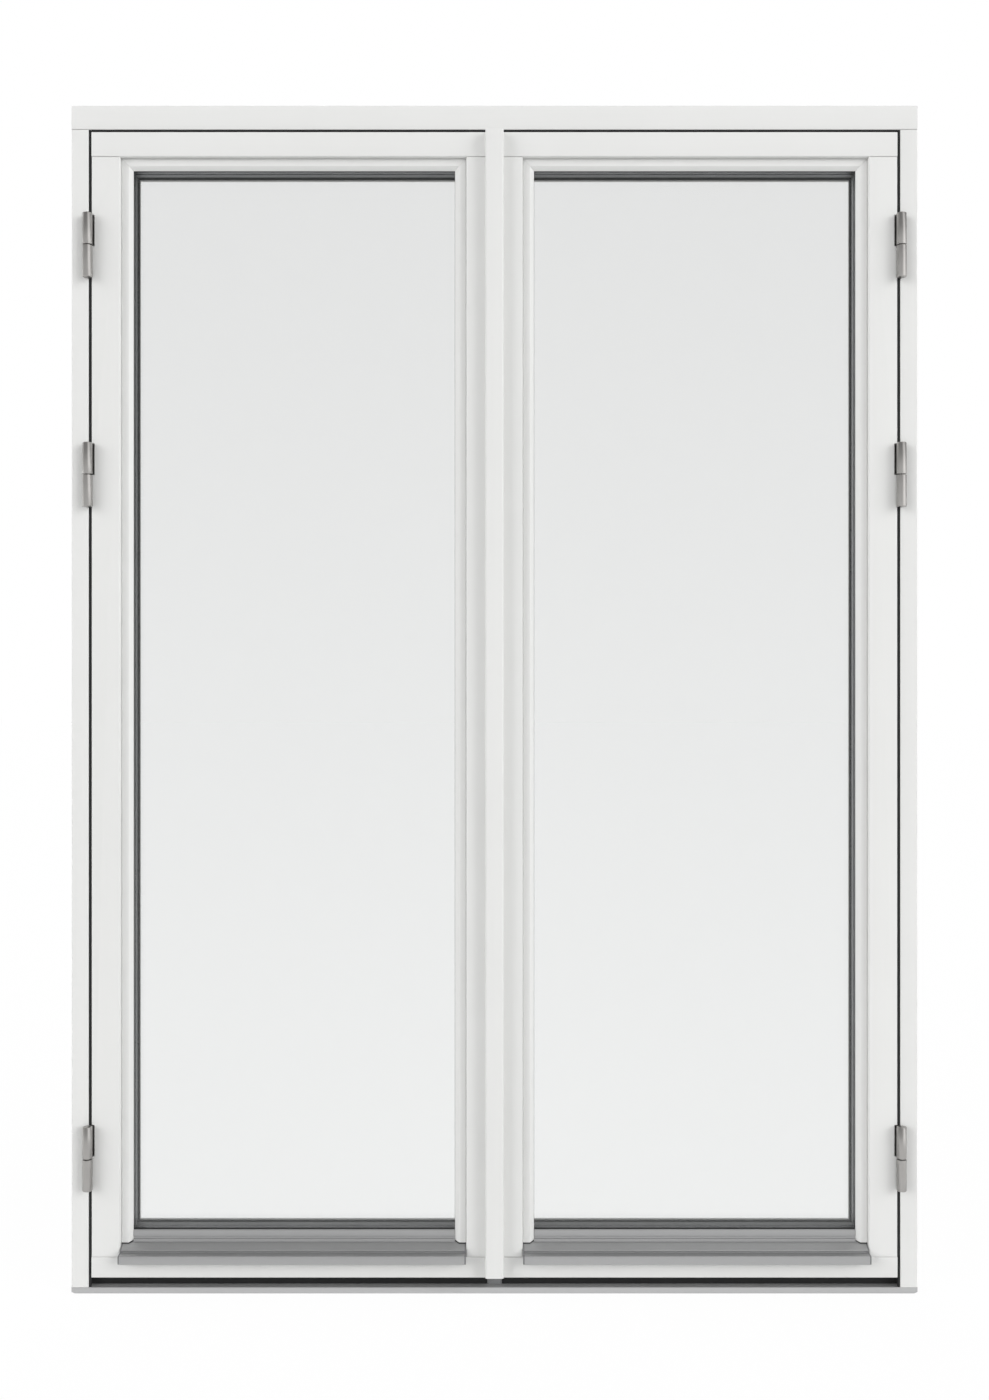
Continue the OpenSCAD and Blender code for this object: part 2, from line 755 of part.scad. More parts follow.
module flush_plate(z0, slot0) {
    difference() {
        block(leaf_in, leaf_in + plate_t, lock_y - plate_w / 2, lock_y + plate_w / 2,
            z0, z0 + flush_plate_l - joint_gap);
        block(leaf_in - 1, leaf_in + plate_t + 1, lock_y - thumb_w / 2 - rod_fit,
            lock_y + thumb_w / 2 + rod_fit, slot0, slot0 + thumb_h + rod_travel + 2 * rest_fit);
    }
}

module left_flush_plates() {
    color(steel) {
        flush_plate(stile_z1 - flush_plate_l, top_thumb - rest_fit);
        flush_plate(stile_z0 + joint_gap, low_thumb - rod_travel - rest_fit);
    }
}

module flush_bolt(z0, z1, thumb) {
    color(steel) union() {
        translate([rod_x, lock_y, z0]) cylinder(h = z1 - z0, r = rod_r);
        block(leaf_in + rest_fit, rod_x, lock_y - thumb_w / 2, lock_y + thumb_w / 2,
            thumb, thumb + thumb_h);
    }
}

module flush_bolt_top() {
    flush_bolt(top_thumb - 10, leaf_top - rod_rest, top_thumb);
}

module flush_bolt_bottom() {
    flush_bolt(leaf_z + rod_rest, low_thumb + thumb_h + 10, low_thumb);
}

module handle_plate() {
    x0 = spindle_x - escutcheon_w / 2;
    z0 = handle_z - escutcheon_h / 2;
    collar_r = neck_d / 2 + 3;
    color(nickel) difference() {
        union() {
            translate([0, leaf_back + escutcheon_t, 0]) rotate([90, 0, 0])
                linear_extrude(escutcheon_t) polygon(eased([
                    [x0, z0, 8], [x0 + escutcheon_w, z0, 8],
                    [x0 + escutcheon_w, z0 + escutcheon_h, 8], [x0, z0 + escutcheon_h, 8],
                ]));
            translate([spindle_x, leaf_back, handle_z])
                rotate([-90, 0, 0]) cylinder(h = escutcheon_t + 3, r = collar_r);
        }
        translate([spindle_x, leaf_back - 1, handle_z])
            rotate([-90, 0, 0]) cylinder(h = escutcheon_t + 5, r = neck_d / 2 + pin_fit);
    }
}

// Lever, neck and spindle, at rest with the lever up.
module handle() {
    lever_r = lever_d / 2;
    lever_y = leaf_back + lever_out - lever_r;
    tip = 3;
    color(nickel) translate([spindle_x, 0, handle_z]) union() {
        translate([0, lock_y - case_t / 2, 0])
            rotate([-90, 0, 0]) cylinder(h = leaf_back - lock_y + case_t, r = spindle_r);
        translate([0, leaf_back + rest_fit, 0])
            rotate([-90, 22.5, 0]) cylinder(h = lever_out - rest_fit + 1, d = neck_d);
        translate([0, lever_y, -neck_d / 2 - 1])
            rotate([0, 0, 45]) cylinder(h = lever_l + neck_d / 2 + 1 - tip, r = lever_r);
        translate([0, lever_y, lever_l - tip])
            rotate([0, 0, 45]) cylinder(h = tip, r1 = lever_r, r2 = lever_r - tip);
    }
}

frame_head();
on(left) frame_jamb();  // frame_jamb_left
on(right) frame_jamb();  // frame_jamb_right
threshold();
threshold_board();
threshold_block();
threshold_upstands();
frame_seals();
gap_seals();
head_keep();
threshold_keep();
on(left) hinge_frame(hinge_splits[0]);  // hinge_frame_left_low
on(left) hinge_frame(hinge_splits[1]);  // hinge_frame_left_mid
on(left) hinge_frame(hinge_splits[2]);  // hinge_frame_left_high
on(right) hinge_frame(hinge_splits[0]);  // hinge_frame_right_low
on(right) hinge_frame(hinge_splits[1]);  // hinge_frame_right_mid
on(right) hinge_frame(hinge_splits[2]);  // hinge_frame_right_high
on(left) hinge_stile();  // left_hinge_stile
on(left) lock_stile_left();  // left_lock_stile
on(left) top_rail();  // left_top_rail
on(left) bottom_rail();  // left_bottom_rail
on(left) bead_top();  // left_bead_top
on(left) bead_side(rebate_out - joint_gap, -1);  // left_bead_hinge
on(left) bead_side(rebate_in + joint_gap, 1);  // left_bead_lock
on(left) drip_profile();  // left_drip_profile
on(left) drip_caps();  // left_drip_caps
on(left) panes();  // left_panes
on(left) spacers();  // left_spacers
on(left) gaskets();  // left_gaskets
on(left) glass_blocks();  // left_glass_blocks
on(left) hinge_leaf(hinge_splits[0]);  // hinge_leaf_left_low
on(left) hinge_leaf(hinge_splits[1]);  // hinge_leaf_left_mid
on(left) hinge_leaf(hinge_splits[2]);  // hinge_leaf_left_high
on(left) left_flush_plates();
on(left) flush_bolt_top();  // left_bolt_top
on(left) flush_bolt_bottom();  // left_bolt_bottom
on(right) hinge_stile();  // right_hinge_stile
on(right) lock_stile_right();  // right_lock_stile
on(right) top_rail();  // right_top_rail
on(right) bottom_rail();  // right_bottom_rail
on(right) bead_top();  // right_bead_top
on(right) bead_side(rebate_out - joint_gap, -1);  // right_bead_hinge
on(right) bead_side(rebate_in + joint_gap, 1);  // right_bead_lock
on(right) drip_profile();  // right_drip_profile
on(right) drip_caps();  // right_drip_caps
on(right) panes();  // right_panes
on(right) spacers();  // right_spacers
on(right) gaskets();  // right_gaskets
on(right) glass_blocks();  // right_glass_blocks
on(right) hinge_leaf(hinge_splits[0]);  // hinge_leaf_right_low
on(right) hinge_leaf(hinge_splits[1]);  // hinge_leaf_right_mid
on(right) hinge_leaf(hinge_splits[2]);  // hinge_leaf_right_high
cover_strip();
lock_faceplate();
lock_case();
rod_top();
rod_bottom();
handle_plate();
handle();
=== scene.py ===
import json
import math

import bmesh
import bpy
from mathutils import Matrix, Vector


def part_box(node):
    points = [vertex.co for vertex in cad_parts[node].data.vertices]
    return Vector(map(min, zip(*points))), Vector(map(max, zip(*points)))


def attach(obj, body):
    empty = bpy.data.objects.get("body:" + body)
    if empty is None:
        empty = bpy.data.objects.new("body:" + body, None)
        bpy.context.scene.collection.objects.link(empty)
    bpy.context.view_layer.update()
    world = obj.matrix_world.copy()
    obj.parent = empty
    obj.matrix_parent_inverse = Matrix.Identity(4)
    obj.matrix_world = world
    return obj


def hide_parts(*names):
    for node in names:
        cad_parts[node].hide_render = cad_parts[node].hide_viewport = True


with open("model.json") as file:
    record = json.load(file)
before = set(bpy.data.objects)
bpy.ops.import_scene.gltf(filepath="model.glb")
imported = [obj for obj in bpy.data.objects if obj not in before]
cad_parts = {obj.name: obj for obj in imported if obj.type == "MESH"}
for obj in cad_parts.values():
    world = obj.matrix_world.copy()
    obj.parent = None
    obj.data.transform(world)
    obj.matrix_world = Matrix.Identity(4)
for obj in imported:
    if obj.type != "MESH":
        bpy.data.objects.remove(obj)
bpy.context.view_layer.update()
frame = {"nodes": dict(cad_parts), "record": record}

nodes = frame["nodes"]
bodyOf = {node: body for body, members in frame["record"]["behaviour"]["bodies"].items() for node in members}
scene = bpy.context.scene
mm = 0.001


# One output of a shader node. Maths on it adds Math nodes.
class Wire:
    def __init__(self, finish, socket):
        self.finish = finish
        self.socket = socket

    def maths(self, operation, *values):
        return self.finish.node("ShaderNodeMath", {"operation": operation}, dict(enumerate(values)))

    def __add__(self, other):
        return self.maths("ADD", self, other)

    def __mul__(self, other):
        return self.maths("MULTIPLY", self, other)

    def __pow__(self, other):
        return self.maths("POWER", self, other)

    def __rpow__(self, other):
        return self.maths("POWER", other, self)

    def __truediv__(self, other):
        return self.maths("DIVIDE", self, other)

    def __rtruediv__(self, other):
        return self.maths("DIVIDE", other, self)

    def __abs__(self):
        return self.maths("ABSOLUTE", self)

    __radd__ = __add__
    __rmul__ = __mul__


# A material, or a world, and the methods that make its nodes.
class Finish:
    def __init__(self, name, library=bpy.data.materials):
        self.owner = library.new(name)
        self.owner.use_nodes = True
        self.tree = self.owner.node_tree
        self.tree.nodes.clear()

    def plug(self, made, key, value):
        target = made.inputs[key] if isinstance(key, int) else next(
            s for s in made.inputs if key in (s.identifier, s.name))
        if isinstance(value, Wire):
            self.tree.links.new(value.socket, target)
        else:
            target.default_value = value

    def node(self, kind, settings=None, inputs=None, output=0):
        made = self.tree.nodes.new(kind)
        for key, value in (settings or {}).items():
            if key == "stops":
                ramp = made.color_ramp.elements
                while len(ramp) < len(value):
                    ramp.new(0.5)
                for stop, (place, grey) in zip(ramp, value):
                    stop.position = place
                    stop.color = (grey, grey, grey, 1)
            else:
                setattr(made, key, value)
        for key, value in (inputs or {}).items():
            self.plug(made, key, value)
        return Wire(self, made.outputs[output])

    # object coordinates, stretched so that a pattern is long in one direction
    def place(self, scale):
        spot = self.node("ShaderNodeTexCoord", output=3)
        return self.node("ShaderNodeMapping", None, {"Vector": spot, "Scale": scale})

    def noise(self, scale, size, detail=3.0, rough=0.5):
        return self.node("ShaderNodeTexNoise", None, {
            "Vector": self.place(scale), "Scale": size, "Detail": detail, "Roughness": rough})

    def ramp(self, wire, stops):
        return self.node("ShaderNodeValToRGB", {"stops": stops}, {"Fac": wire})

    def tint(self, wire, dark, light):
        return self.node("ShaderNodeMix", {"data_type": "RGBA"}, {
            "Factor_Float": wire, "A_Color": (*dark, 1), "B_Color": (*light, 1)}, output=2)

    def bump(self, height, distance, strength=0.5):
        return self.node("ShaderNodeBump", None, {
            "Height": height, "Distance": distance, "Strength": strength})

    def end(self, shader, kind="ShaderNodeOutputMaterial"):
        out = self.tree.nodes.new(kind)
        self.tree.links.new(shader.socket, out.inputs["Surface"])
        return self.owner

    def principled(self, inputs):
        return self.end(self.node("ShaderNodeBsdfPrincipled", None, inputs))


# Patterns that are stretched along X or Z, or not at all.
evenly = (1, 1, 1)
alongX = (0.03, 1.0, 1.0)
alongZ = (1.0, 1.0, 0.03)

paint = {
    "dark": (0.775, 0.777, 0.765),
    "light": (0.83, 0.832, 0.82),
    "roughness": 0.34,
    "coat": 0.12,
    "strokes": 260.0,    # how fine the brush strokes are
    "strokeDepth": 0.03 * mm,
    "grain": 90.0,
    "grainDepth": 0.07 * mm,
}


# White paint over pine. The brush strokes and the grain run along the timber.
def whitePaint(name, along):
    f = Finish(name)
    fine = {"x": alongX, "z": alongZ}[along]
    long = {"x": (0.012, 1.0, 1.0), "z": (1.0, 1.0, 0.012)}[along]
    strokes = f.noise(fine, paint["strokes"], 4.0, 0.6)
    grain = f.ramp(f.noise(long, paint["grain"], 2.0, 0.4), [(0.42, 0.0), (0.62, 1.0)])
    clouds = f.noise(evenly, 5.0, 2.0)
    shade = clouds * 0.7 + strokes * 0.3
    relief = strokes * paint["strokeDepth"] + grain * paint["grainDepth"]
    return f.principled({
        "Base Color": f.tint(shade, paint["dark"], paint["light"]),
        "Roughness": strokes * 0.14 + paint["roughness"],
        "Normal": f.bump(relief, 1.0, 0.6),
        "Coat Weight": paint["coat"],
        "Coat Roughness": 0.25,
    })


anodising = {
    "profileDark": (0.36, 0.362, 0.364),
    "profileLight": (0.47, 0.472, 0.474),
    "profileRoughness": 0.40,
    "sillDark": (0.47, 0.473, 0.475),
    "sillLight": (0.57, 0.573, 0.575),
    "sillRoughness": 0.42,
    "metallic": 0.65,
    "lines": 1600.0,
    "lineDepth": 0.01 * mm,
}


# Anodised aluminium with the fine lines of the die along it.
def anodised(name, use):
    f = Finish(name)
    lines = f.noise(alongX, anodising["lines"], 3.0, 0.7)
    clouds = f.noise((0.4, 1.0, 1.0), 14.0, 3.0)
    return f.principled({
        "Base Color": f.tint(
            lines * 0.6 + clouds * 0.4, anodising[use + "Dark"], anodising[use + "Light"]),
        "Metallic": anodising["metallic"],
        "Roughness": clouds * 0.12 + anodising[use + "Roughness"],
        "Normal": f.bump(lines, anodising["lineDepth"]),
    })


seal = {
    "dark": (0.010, 0.0103, 0.0106),
    "light": (0.020, 0.0206, 0.021),
    "roughness": 0.55,
    "specular": 0.3,
    "grit": 1400.0,
    "gritDepth": 0.05 * mm,
}


def blackRubber():
    f = Finish("blackRubber")
    grit = f.noise(evenly, seal["grit"], 2.0, 0.7)
    dust = f.noise(evenly, 30.0, 4.0)
    return f.principled({
        "Base Color": f.tint(dust, seal["dark"], seal["light"]),
        "Roughness": dust * 0.2 + seal["roughness"],
        "Specular IOR Level": seal["specular"],
        "Normal": f.bump(grit, seal["gritDepth"]),
    })


nickelPlating = {
    "dark": (0.355, 0.345, 0.333),
    "light": (0.475, 0.464, 0.449),
    "metallic": 0.92,
    "roughness": 0.30,
    "hairs": 1600.0,
    "hairDepth": 0.02 * mm,
}


# Satin nickel, with the hairlines left by the polishing belt.
def satinNickel():
    f = Finish("satinNickel")
    hair = f.noise(alongZ, nickelPlating["hairs"], 2.0, 0.6)
    clouds = f.noise(evenly, 60.0, 3.0)
    return f.principled({
        "Base Color": f.tint(
            clouds * 0.5 + hair * 0.5, nickelPlating["dark"], nickelPlating["light"]),
        "Metallic": nickelPlating["metallic"],
        "Roughness": hair * 0.12 + nickelPlating["roughness"],
        "Normal": f.bump(hair, nickelPlating["hairDepth"]),
    })


zincPlating = {
    "blue": (0.52, 0.55, 0.57),
    "yellow": (0.66, 0.65, 0.60),
    "roughness": 0.26,
    "hairs": 1500.0,
    "hairDepth": 0.02 * mm,
}


# Bright zinc plating with its faint cloudy blue and yellow.
def zincPlate():
    f = Finish("zincPlate")
    clouds = f.noise(evenly, 40.0, 4.0)
    hair = f.noise((1.0, 1.0, 0.02), zincPlating["hairs"], 2.0)
    return f.principled({
        "Base Color": f.tint(clouds, zincPlating["blue"], zincPlating["yellow"]),
        "Metallic": 1.0,
        "Roughness": hair * 0.15 + zincPlating["roughness"],
        "Normal": f.bump(hair, zincPlating["hairDepth"]),
    })


# Colours of the painted shade in the seams, and its pore bump.
seamShadeColours = {
    "dark": (0.05, 0.04, 0.03),
    "light": (0.12, 0.09, 0.06),
    "roughness": 0.7,
    "pores": 700.0,
    "poreDepth": 0.1 * mm,
}


# Painted shade for the thin seams: a near black-brown on the end faces inside the joints and on the faces
# beside the beads.
def paintedSeamShade():
    f = Finish("paintedSeamShade")
    pores = f.noise(evenly, seamShadeColours["pores"], 3.0, 0.7)
    return f.principled({
        "Base Color": f.tint(pores, seamShadeColours["dark"], seamShadeColours["light"]),
        "Roughness": pores * 0.1 + seamShadeColours["roughness"],
        "Normal": f.bump(pores, seamShadeColours["poreDepth"]),
    })


moulding = {
    "dark": (0.17, 0.173, 0.176),
    "light": (0.22, 0.223, 0.226),
    "roughness": 0.45,
    "grain": 1200.0,
    "grainDepth": 0.04 * mm,
}


def greyPlastic():
    f = Finish("greyPlastic")
    grain = f.node("ShaderNodeTexVoronoi", None, {"Vector": f.place(evenly), "Scale": moulding["grain"]})
    clouds = f.noise(evenly, 50.0, 2.0)
    return f.principled({
        "Base Color": f.tint(clouds, moulding["dark"], moulding["light"]),
        "Roughness": clouds * 0.1 + moulding["roughness"],
        "Normal": f.bump(grain, moulding["grainDepth"]),
    })


boardWood = {
    "dark": (0.16, 0.082, 0.038),
    "light": (0.42, 0.255, 0.125),
    "roughness": 0.36,
    "coat": 0.15,
    "rings": 42.0,
    "pores": 900.0,
    "poreDepth": 0.08 * mm,
}


# Oiled hardwood whose long fibres run along X.
def oiledOak():
    f = Finish("oiledOak")
    warp = f.noise((0.25, 1.0, 1.0), 9.0, 3.0)
    rings = f.node("ShaderNodeTexWave", {"wave_type": "BANDS", "bands_direction": "Z"}, {
        "Vector": f.place((0.06, 1.0, 1.0)), "Scale": boardWood["rings"], "Distortion": 9.0,
        "Detail": 3.0, "Detail Scale": 1.4})
    pores = f.ramp(f.noise((0.02, 1.0, 1.0), boardWood["pores"], 2.0, 0.7), [(0.35, 0.0), (0.55, 1.0)])
    tone = rings * 0.5 + warp * 0.35 + pores * 0.15
    return f.principled({
        "Base Color": f.tint(tone, boardWood["dark"], boardWood["light"]),
        "Roughness": pores * 0.15 + boardWood["roughness"],
        "Normal": f.bump(pores, boardWood["poreDepth"]),
        "Coat Weight": boardWood["coat"],
    })


spacerMetal = {
    "dark": (0.20, 0.205, 0.21),
    "light": (0.29, 0.295, 0.30),
    "metallic": 0.7,
    "roughness": 0.42,
    "slots": 320.0,
    "slotDepth": 0.1 * mm,
}


# Spacer bars with the small breathing slots along their middle.
def spacerBar():
    f = Finish("spacerBar")
    clouds = f.noise(evenly, 80.0, 3.0)
    slots = f.node("ShaderNodeTexVoronoi", {"distance": "CHEBYCHEV"}, {
        "Vector": f.place(evenly), "Scale": spacerMetal["slots"], "Randomness": 0.0})
    return f.principled({
        "Base Color": f.tint(clouds, spacerMetal["dark"], spacerMetal["light"]),
        "Metallic": spacerMetal["metallic"],
        "Roughness": clouds * 0.15 + spacerMetal["roughness"],
        "Normal": f.bump(slots, spacerMetal["slotDepth"], 0.4),
    })


glazing = {"tint": (0.981, 0.982, 0.9815), "mirror": 0.04, "waveDepth": 0.3 * mm}


# Clear float glass: a mirror by its angle, over a faint tint.
def clearGlass():
    f = Finish("clearGlass")
    facing = f.node("ShaderNodeLayerWeight", None, {"Blend": 0.5}, output=1)
    share = facing ** 5 * (1 - glazing["mirror"]) + glazing["mirror"]
    waves = f.noise(evenly, 2.2, 2.0)
    through = f.node("ShaderNodeBsdfTransparent", None, {"Color": (*glazing["tint"], 1)})
    shine = f.node("ShaderNodeBsdfGlossy", None, {
        "Color": (0.95, 0.97, 0.96, 1), "Roughness": 0.02,
        "Normal": f.bump(waves, glazing["waveDepth"], 0.25)})
    return f.end(f.node("ShaderNodeMixShader", None, {0: share, 1: through, 2: shine}))


paintAcross = whitePaint("whitePaintAcross", "x")
paintUp = whitePaint("whitePaintUp", "z")
aluminium = anodised("anodisedProfile", "profile")
sillAluminium = anodised("anodisedSill", "sill")
rubber = blackRubber()
nickel = satinNickel()
zinc = zincPlate()
plastic = greyPlastic()
oak = oiledOak()
spacer = spacerBar()
# painted shade for the seams inside the joints and beside the beads
seamShadeMaterial = paintedSeamShade()
glass = clearGlass()
print("finishes made")


def addPiece(name, mesh, body, material=None):
    piece = bpy.data.objects.new(name, mesh)
    scene.collection.objects.link(piece)
    if material:
        mesh.materials.clear()
        mesh.materials.append(material)
    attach(piece, body)
    return piece


dressing = {
    "merge": 0.005 * mm,
    "flat": math.radians(0.5),     # faces this close to one plane become one face
    "smooth": math.radians(32),
    "easeFrom": math.radians(50),  # edges sharper than this are eased
}


# A CAD node kept in shape: its copy is merged and smoothed, and the sharp edges are eased.
def dress(node, material, ease):
    work = bmesh.new()
    work.from_mesh(nodes[node].data)
    bmesh.ops.remove_doubles(work, verts=work.verts, dist=dressing["merge"])
    bmesh.ops.dissolve_limit(work, angle_limit=dressing["flat"], verts=work.verts, edges=work.edges)
    mesh = bpy.data.meshes.new("dressed_" + node)
    work.to_mesh(mesh)
    work.free()
    piece = addPiece("dressed_" + node, mesh, bodyOf[node], material)
    mesh.shade_smooth()
    mesh.set_sharp_from_angle(angle=dressing["smooth"])
    if ease:
        edge = piece.modifiers.new("ease", "BEVEL")
        edge.width = ease
        edge.segments = 2
        edge.limit_method = "ANGLE"
        edge.angle_limit = dressing["easeFrom"]
        edge.harden_normals = True
    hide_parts(node)
    return piece


# Where the seams that get painted shade lie: the joint heights and the sides of the beads.
jointHeights = [*(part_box("left_hinge_stile")[end][2] for end in (0, 1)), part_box("frame_jamb_left")[1][2]]
beadSides = [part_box(bead)[end][0] for bead, end in (
    ("left_bead_hinge", 0), ("left_bead_lock", 1), ("right_bead_lock", 0), ("right_bead_hinge", 1))]
seamSelection = {"square": 0.95, "heightSlack": 1 * mm, "sideSlack": 0.2 * mm}


def near(value, places, slack):
    return any(abs(value - place) < slack for place in places)


# The faces of an upright timber that lie inside its joints, at these heights or sides, get painted shade: the
# near black-brown that makes the thin seams read dark.
def shadeSeamFaces(piece):
    piece.data.materials.append(seamShadeMaterial)
    for face in piece.data.polygons:
        normal, middle = face.normal, face.center
        inCorner = abs(normal.z) > seamSelection["square"] and near(middle.z, jointHeights, seamSelection["heightSlack"])
        byStile = abs(normal.x) > seamSelection["square"] and near(middle.x, beadSides, seamSelection["sideSlack"])
        if inCorner or byStile:
            face.material_index = 1
    piece.modifiers["ease"].material = 0


for node in nodes:
    if node == "frame_head" or node.endswith("_rail") or node.endswith("bead_top"):
        dress(node, paintAcross, 0.4 * mm)
    elif node.startswith(("frame_jamb", "cover_strip")) or node.endswith("_stile") or "_bead_" in node:
        shadeSeamFaces(dress(node, paintUp, 0.4 * mm))
    elif node.endswith("drip_profile"):
        dress(node, aluminium, 0.25 * mm)
    elif node == "threshold":
        dress(node, sillAluminium, 0.3 * mm)
    elif node == "threshold_board":
        dress(node, oak, 0.4 * mm)
    elif node.endswith("drip_caps") or node == "threshold_block":
        dress(node, plastic, 0.3 * mm)
    elif node.endswith("upstands") or node.endswith("gaskets") or node.endswith("seals"):
        dress(node, rubber, 0.3 * mm)
    elif node.endswith("glass_blocks") or node.endswith("panes"):
        nodes[node].data.materials.clear()
        nodes[node].data.materials.append(glass if node.endswith("panes") else rubber)
    elif node.endswith("spacers"):
        dress(node, spacer, 0)
    elif node == "handle":
        continue  # its lever is modelled below
    elif node.startswith("hinge_") or node == "handle_plate":
        dress(node, nickel, 0.3 * mm)
    else:
        dress(node, zinc, 0.25 * mm)
print("timber, metal and glass dressed")


lever = {
    "spindleEnd": 4.0 * mm,
    "spindle": 4.6 * mm,
    "chamfer": 0.6 * mm,
    "sunk": 8 * mm,        # how far behind the plate's front the neck starts
    "clear": 3 * mm,       # how far in front of the plate its next ring of points is
    "underNeck": 1 * mm,
    "behindGrip": 1.3 * mm,
    "elbow": 17 * mm,      # radius of the bend from neck to grip
    "neck": 9.0 * mm,
    "wide": 10.5 * mm,     # half width of the grip
    "thick": 6.2 * mm,     # half thickness of the grip
    "taper": 0.82,
    "tip": 9 * mm,
    "squarer": 0.6,        # how much less round the grip is than the neck
    "bendSteps": 12,
    "gripSteps": 8,
    "tipSteps": 8,
    "around": 40,
    "smooth": math.radians(40),
}


# Stations out of the plate, round the elbow and up the grip.
# Each is a point, a direction, a half width and a half thickness.
def leverStations():
    low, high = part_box("handle")
    x, z = (low[0] + high[0]) / 2, low[2] + lever["neck"] + lever["underNeck"]
    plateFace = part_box("handle_plate")[1][1]
    outer = high[1] - lever["behindGrip"] - lever["thick"]
    top = high[2]
    start = low[1]
    neckStart = plateFace - lever["sunk"]
    stations = []
    for y, size in ((start, "spindleEnd"), (start + lever["chamfer"], "spindle"),
                    (neckStart, "spindle"), (neckStart, "neck"),
                    (plateFace + lever["clear"], "neck"), (outer - lever["elbow"], "neck")):
        stations.append(((x, y, z), 0.0, lever[size], lever[size]))
    for step in range(1, lever["bendSteps"] + 1):
        share = step / lever["bendSteps"]
        turn = math.radians(90 * step / lever["bendSteps"])
        stations.append((
            (x, outer - lever["elbow"] * (1 - math.sin(turn)), z + lever["elbow"] * (1 - math.cos(turn))),
            turn,
            lever["neck"] + (lever["wide"] - lever["neck"]) * share,
            lever["neck"] + (lever["thick"] - lever["neck"]) * share))
    straight = top - (z + lever["elbow"])
    for step in range(1, lever["gripSteps"] + 1):
        share = step / lever["gripSteps"]
        narrow = 1 - (1 - lever["taper"]) * share
        stations.append(((x, outer, z + lever["elbow"] + (straight - lever["tip"]) * share), math.pi / 2,
                         lever["wide"] * narrow, lever["thick"] * narrow))
    for step in range(1, lever["tipSteps"]):
        turn = math.radians(90 * step / lever["tipSteps"])
        stations.append(((x, outer, top - lever["tip"] + lever["tip"] * math.sin(turn)), math.pi / 2,
                         lever["wide"] * lever["taper"] * math.cos(turn),
                         lever["thick"] * lever["taper"] * math.cos(turn)))
    return stations


# The lever is a skin over rings of points, one for each station.
def makeLever():
    work = bmesh.new()
    rings = []
    for point, turn, wide, thick in leverStations():
        across = Vector((1, 0, 0))
        out = Vector((0, -math.sin(turn), math.cos(turn)))
        squareness = 2.0 + lever["squarer"] * math.sin(turn)  # 2 is round
        ring = []
        for step in range(lever["around"]):
            angle = 2 * math.pi * step / lever["around"]
            c, s = math.cos(angle), math.sin(angle)
            u = wide * math.copysign(abs(c) ** (2 / squareness), c)
            v = thick * math.copysign(abs(s) ** (2 / squareness), s)
            ring.append(work.verts.new(Vector(point) + across * u + out * v))
        rings.append(ring)
    for one, two in zip(rings, rings[1:]):
        for step in range(lever["around"]):
            after = (step + 1) % lever["around"]
            work.faces.new((one[step], one[after], two[after], two[step]))
    work.faces.new(rings[0])
    work.faces.new(list(reversed(rings[-1])))
    bmesh.ops.recalc_face_normals(work, faces=work.faces)
    mesh = bpy.data.meshes.new("lever")
    work.to_mesh(mesh)
    work.free()
    piece = addPiece("handle_lever", mesh, bodyOf["handle"], nickel)
    mesh.shade_smooth()
    mesh.set_sharp_from_angle(angle=lever["smooth"])
    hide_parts("handle")


makeLever()
print("handle made")


screw = {"headRadius": 3.6 * mm, "headHeight": 1.3 * mm, "proud": 0.45 * mm, "slotWidth": 1.0 * mm}
screwShape = {"rim": 0.8, "slot": 1.05, "deeper": 1.1, "anyTurn": 6.28}


